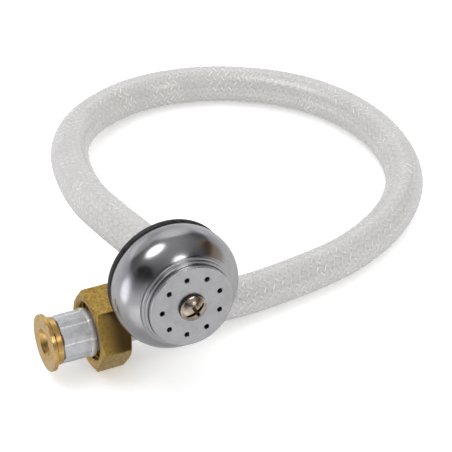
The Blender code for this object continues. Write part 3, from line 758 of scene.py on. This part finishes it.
# ---- Face plate -----------------------------------------------------------------------------
# Brass disc with nine jets drilled on one circle, satin chrome plated. The centre screw
# pulls it down. Each jet's edge is broken with a small countersink.
jets, jet_circle, first_jet = 9, 12.35, math.radians(-4)
driller, given = new_maker("jet_driller", [
    ("Jets", "Int"), ("Circle radius", "Float"), ("Jet radius", "Float"),
    ("First jet", "Float"), ("Metal", "Material")])
spots = put(driller, "GeometryNodeMeshCircle",
            {"Vertices": given["Jets"], "Radius": given["Circle radius"]})
turn = put(driller, "ShaderNodeCombineXYZ", {2: given["First jet"]})
spots = put(driller, "GeometryNodeTransform", {"Geometry": spots.outputs[0],
                                               "Rotation": turn.outputs[0]})
drill = put(driller, "GeometryNodeMeshCylinder", {
    "Vertices": 32, "Radius": given["Jet radius"], "Depth": 8.0})
broken = put(driller, "GeometryNodeMeshCone", {
    "Vertices": 32, "Radius Bottom": given["Jet radius"],
    "Radius Top": maths(driller, 'ADD', given["Jet radius"], 0.45), "Depth": 0.45})
broken = put(driller, "GeometryNodeTransform", {"Geometry": broken.outputs["Mesh"],
                                                "Translation": (0.0, 0.0, -0.18)})
cut = given["Geometry"]
for tool in (drill.outputs["Mesh"], broken.outputs[0]):
    set_out = put(driller, "GeometryNodeInstanceOnPoints",
                  {"Points": spots.outputs[0], "Instance": tool})
    real = put(driller, "GeometryNodeRealizeInstances", {"Geometry": set_out.outputs[0]})
    done = put(driller, "GeometryNodeMeshBoolean", operation='DIFFERENCE', solver='EXACT')
    driller.links.new(cut, done.inputs["Mesh 1"])
    driller.links.new(real.outputs[0], done.inputs["Mesh 2"])
    cut = done.outputs["Mesh"]
done = put(driller, "GeometryNodeSetMaterial", {"Geometry": cut, "Material": given["Metal"]})
put(driller, "NodeGroupOutput", {"Geometry": done.outputs[0]})

satin_chrome, tree, shader = finish_of("satin_chrome", Metallic=1.0, Roughness=0.30)
axes = local_axes(tree, head_at)
smear, scratch = marks_on(tree, axes, 0.16, 2.0)
parts, flat, length = split_up(tree, axes)
# Lime has dried in a pale ring round each jet.
jet_gap = 8.6
bearing = maths(tree, 'DIVIDE', maths(tree, 'ARCTAN2', parts["Y"], parts["X"]), math.tau / jets)
past_jet = maths(tree, 'FRACT', maths(tree, 'ADD', bearing, 0.5 - first_jet * jets / math.tau))
beside = maths(tree, 'MULTIPLY', jet_gap, maths(tree, 'SUBTRACT', past_jet, 0.5))
outby = maths(tree, 'SUBTRACT', length, jet_circle)
near = maths(tree, 'SQRT', maths(tree, 'ADD', maths(tree, 'POWER', beside, 2.0),
                                 maths(tree, 'POWER', outby, 2.0)))
scale_ring = maths(tree, 'MULTIPLY', between(tree, near, 2.3, 1.1), 0.30)
tone = blend_of(tree, smear, (0.60, 0.60, 0.615), (0.54, 0.54, 0.555))
rough = maths(tree, 'ADD', between(tree, smear, 0.0, 1.0, 0.26, 0.36),
              maths(tree, 'MULTIPLY', scale_ring, 0.35))
height = maths(tree, 'ADD', rings_on(tree, axes, 6.0), maths(tree, 'MULTIPLY', scratch, 0.4))
dress(tree, shader, blend_of(tree, scale_ring, tone, (0.68, 0.68, 0.67)), rough, height, 0.35,
      0.03 * MM)

plate_radius, plate_thickness = 17.27, 2.2
blank = turned([(2.5, -plate_thickness, 0.1), (2.5, 0, 0.15), (plate_radius, 0, 0.50),
                (plate_radius, -plate_thickness, 0.15)])
drilled = run_maker(closed_mesh("plate_blank", blank), driller, {
    "Jets": jets, "Circle radius": jet_circle, "Jet radius": 1.05, "First jet": first_jet,
    "Metal": satin_chrome})
as_piece("jet_plate", drilled, head_at, satin_chrome, "face_plate")


# ---- Centre screw ------------------------------------------------------------------------------
# Domed screw with a long slot crossed by a short one, nickel plated over bronze and worn.
# It stands on a thin steel washer, coloured nearly black, and pulls the plate onto the bridge inside.
dark_washer = turned_metal("near_black_steel", head_at, (0.16, 0.15, 0.15), (0.09, 0.085, 0.08),
                           0.45, rings=5.0)
as_piece("thin_washer", turned([(2.5, 0.3, 0.1), (2.5, 0.8, 0.1), (5.62, 0.8, 0.15),
                                (5.62, 0.3, 0.1)]), head_at, dark_washer, "screw_washer")

crown_top, crown_radius, crown_edge = 4.3, 6.10, math.radians(56)
# Each slot's bearing, length, and how far from the middle the painted shade in it reaches.
slots = ((math.radians(27), 8.9, 4.35), (math.radians(-63), 5.4, 2.75))
slot_half_width = 0.62

worn_nickel, tree, shader = finish_of("worn_nickel", Metallic=1.0, Roughness=0.2)
axes = local_axes(tree, head_at)
smear, scratch = marks_on(tree, axes, 0.45, 3.0)
parts, flat, length = split_up(tree, axes)
tone = blend_of(tree, smear, (0.66, 0.57, 0.48), (0.50, 0.40, 0.31))
# Painted shade: what lies sunk below the crown, and each slot's outline towards its ends, is darkened to
# dark brown and made rougher.
crown_here = maths(tree, 'ADD', crown_top - crown_radius, maths(tree, 'SQRT', maths(
    tree, 'SUBTRACT', crown_radius ** 2, maths(tree, 'POWER', length, 2.0))))
sunk = between(tree, maths(tree, 'SUBTRACT', crown_here, parts["Z"]), 0.10, 0.40)
painted_recess_shade = maths(tree, 'MULTIPLY', sunk, between(tree, length, 4.75, 4.6))
for bearing, long, shade_reach in slots:
    lined_up = put(tree, "ShaderNodeVectorRotate", {"Vector": flat, "Angle": -bearing},
                   rotation_type='Z_AXIS')
    ways = put(tree, "ShaderNodeSeparateXYZ", {0: lined_up.outputs[0]}).outputs
    aside = maths(tree, 'ADD', maths(tree, 'ABSOLUTE', ways["Y"]), maths(
        tree, 'MULTIPLY', 0.016, maths(tree, 'POWER', ways["X"], 2.0)))
    slot_shade = maths(tree, 'MULTIPLY', between(tree, aside, 0.78, slot_half_width), between(
        tree, maths(tree, 'ABSOLUTE', ways["X"]), shade_reach, shade_reach - 0.25))
    painted_recess_shade = maths(tree, 'MAXIMUM', painted_recess_shade, slot_shade)
rough = maths(tree, 'ADD', between(tree, smear, 0.0, 1.0, 0.15, 0.30),
              maths(tree, 'MULTIPLY', painted_recess_shade, 0.4))
dress(tree, shader, blend_of(tree, painted_recess_shade, tone, (0.17, 0.095, 0.05)), rough,
      maths(tree, 'ADD', smear, scratch), 0.12, 0.05 * MM)

crown = [(0.0, crown_top, 0)]
for k in range(1, 15):
    lean = crown_edge * k / 14
    crown.append((crown_radius * math.sin(lean),
                  crown_top - crown_radius * (1 - math.cos(lean)), 0))
crown += [(5.28, 1.50, 0.0)]
screw = add("screw_work", closed_mesh("screw_blank", turned(
    crown + [(5.45, 1.35, 0), (5.45, 1.1, 0.1), (2.2, 1.1, 0.1), (2.2, -8.0, 0.2),
             (1.6, -8.8, 0.2), (0, -8.8, 0)], 128, closed=False)))
cutters = []
for bearing, long, shade_reach in slots:
    bm = bmesh.new()
    for side in (1, -1):
        for k in range(9):
            a = math.pi * k / 8 - math.pi / 2
            across = slot_half_width * math.sin(a)
            out = side * (long / 2 - slot_half_width + slot_half_width * math.cos(a))
            for z, grow in ((2.4, 0.80), (5.2, 1.30)):
                bm.verts.new((out, side * across * grow, z))
    bmesh.ops.convex_hull(bm, input=bm.verts)
    bmesh.ops.rotate(bm, verts=bm.verts, cent=(0, 0, 0),
                     matrix=Matrix.Rotation(bearing, 3, 'Z'))
    cutters.append(add("slot_cutter", closed_mesh("slot_cutter", bm)))
    made = screw.modifiers.new("slot", 'BOOLEAN')
    made.object, made.solver, made.operation = cutters[-1], 'EXACT', 'DIFFERENCE'
graph = bpy.context.evaluated_depsgraph_get()
slotted = bpy.data.meshes.new_from_object(screw.evaluated_get(graph))
for old in cutters + [screw]:
    bpy.data.objects.remove(old, do_unlink=True)
as_piece("slotted_screw", slotted, head_at, worn_nickel, "centre_screw")


# ---- Table and light -----------------------------------------------------------------------------
# A plain white table under a large soft panel, with a smaller one above the left side.
# The plated parts mirror neither of them.
bm = bmesh.new()
bmesh.ops.create_grid(bm, x_segments=1, y_segments=1, size=4.0)
table = plain_mesh("table", bm)
table_white, tree, shader = finish_of("table_white", Roughness=0.6)
shader.inputs["Base Color"].default_value = (0.92, 0.92, 0.92, 1.0)
shader.inputs["Specular IOR Level"].default_value = 0.2
shader.inputs["Emission Color"].default_value = (1.0, 1.0, 1.0, 1.0)
shader.inputs["Emission Strength"].default_value = 0.24
table.materials.append(table_white)
floor = add("table", table)
floor.visible_glossy = False


def soft_box(name, size, spot, aim, power):
    """An area light of that size at spot, facing aim, that no metal mirrors."""
    light = bpy.data.lights.new(name, 'AREA')
    light.shape, light.size, light.size_y = 'RECTANGLE', size[0], size[1]
    light.energy = power
    box = add(name, light)
    box.location = spot
    box.rotation_euler = (Vector(aim) - Vector(spot)).to_track_quat('-Z', 'Y').to_euler()
    box.visible_glossy = False


soft_box("overhead_panel", (1.6, 1.2), (0.0, 0.45, 1.1), (0.03, 0.05, 0.0), 4.0)
soft_box("left_box", (0.5, 0.5), (-0.45, 0.05, 0.85), (0.0, 0.0, 0.04), 0.9)

# The room lights the table evenly. The plated parts mirror only its walls, which stand far
# off: grey, paler towards the ground, with lamps and panels glowing softly on them.
room = bpy.data.worlds.new("room")
scene.world = room
room.use_nodes = True
sky = room.node_tree.nodes["Background"].inputs
sky["Color"].default_value, sky["Strength"].default_value = (1.0, 1.0, 1.0, 1.0), 1.10
room.cycles_visibility.glossy = False

bm = bmesh.new()
bmesh.ops.create_uvsphere(bm, u_segments=48, v_segments=24, radius=5.0)
wall_mesh = plain_mesh("walls", bm)
wall_paint = bpy.data.materials.new("wall_paint")
wall_paint.use_nodes = True
tree = wall_paint.node_tree
tree.nodes.remove(tree.nodes["Principled BSDF"])
facing = vectors(tree, 'NORMALIZE', put(tree, "ShaderNodeTexCoord").outputs["Object"])
rise = put(tree, "ShaderNodeSeparateXYZ", {0: facing}).outputs["Z"]
paint = ramp(tree, maths(tree, 'MULTIPLY_ADD', rise, 0.5, 0.5), [
    (0.00, (0.42, 0.42, 0.42)), (0.20, (0.62, 0.62, 0.62)), (0.30, (0.76, 0.76, 0.76)),
    (0.45, (0.72, 0.72, 0.73)), (0.58, (0.58, 0.58, 0.59)), (0.665, (0.48, 0.48, 0.49)),
    (0.705, (0.13, 0.13, 0.135)), (0.82, (0.13, 0.13, 0.135)), (0.91, (0.26, 0.26, 0.265)),
    (0.97, (0.36, 0.36, 0.365))])
# Each patch: its bearing from +Y towards +X, its height over the horizon and its spread, in
# degrees, and the light it adds. A patch that takes light away is a dark corner.
for bearing, lift, spread, glow in (
        (-98, 71, 19, (3.2, 3.2, 3.2)), (-110, -3, 22, (1.1, 1.1, 1.12)),
        (-3, 40, 26, (0.75, 0.75, 0.75)), (-45, 27, 24, (0.40, 0.40, 0.40)),
        (18, 18, 20, (0.20, 0.20, 0.20)), (-150, -36, 24, (0.35, 0.34, 0.32)),
        (138, 43, 14, (3.4, 3.3, 3.2)), (124, 24, 26, (-0.32, -0.32, -0.32)),
        (-142, 24, 28, (-0.30, -0.30, -0.30)), (76, 17, 24, (-0.22, -0.27, -0.33)),
        (72, 30, 20, (0.10, 0.06, 0.02))):
    lamp = slope(90 - bearing, lift)
    near = put(tree, "ShaderNodeVectorMath", {0: facing, 1: lamp}, operation='DOT_PRODUCT')
    seen = between(tree, near.outputs["Value"], math.cos(math.radians(spread)),
                   math.cos(math.radians(spread * 0.35)))
    paint = vectors(tree, 'ADD', paint, vectors(tree, 'SCALE', glow, Scale=seen))
paint = vectors(tree, 'MAXIMUM', paint, (0.03, 0.03, 0.03))
light = put(tree, "ShaderNodeEmission", {"Color": paint})
tree.links.new(light.outputs[0], tree.nodes["Material Output"].inputs["Surface"])
wall_paint.cycles.emission_sampling = 'NONE'
wall_mesh.materials.append(wall_paint)
walls = add("walls", wall_mesh)
walls.visible_camera = walls.visible_diffuse = walls.visible_transmission = False
walls.visible_shadow = walls.visible_volume_scatter = False
scene.view_settings.view_transform = 'Standard'
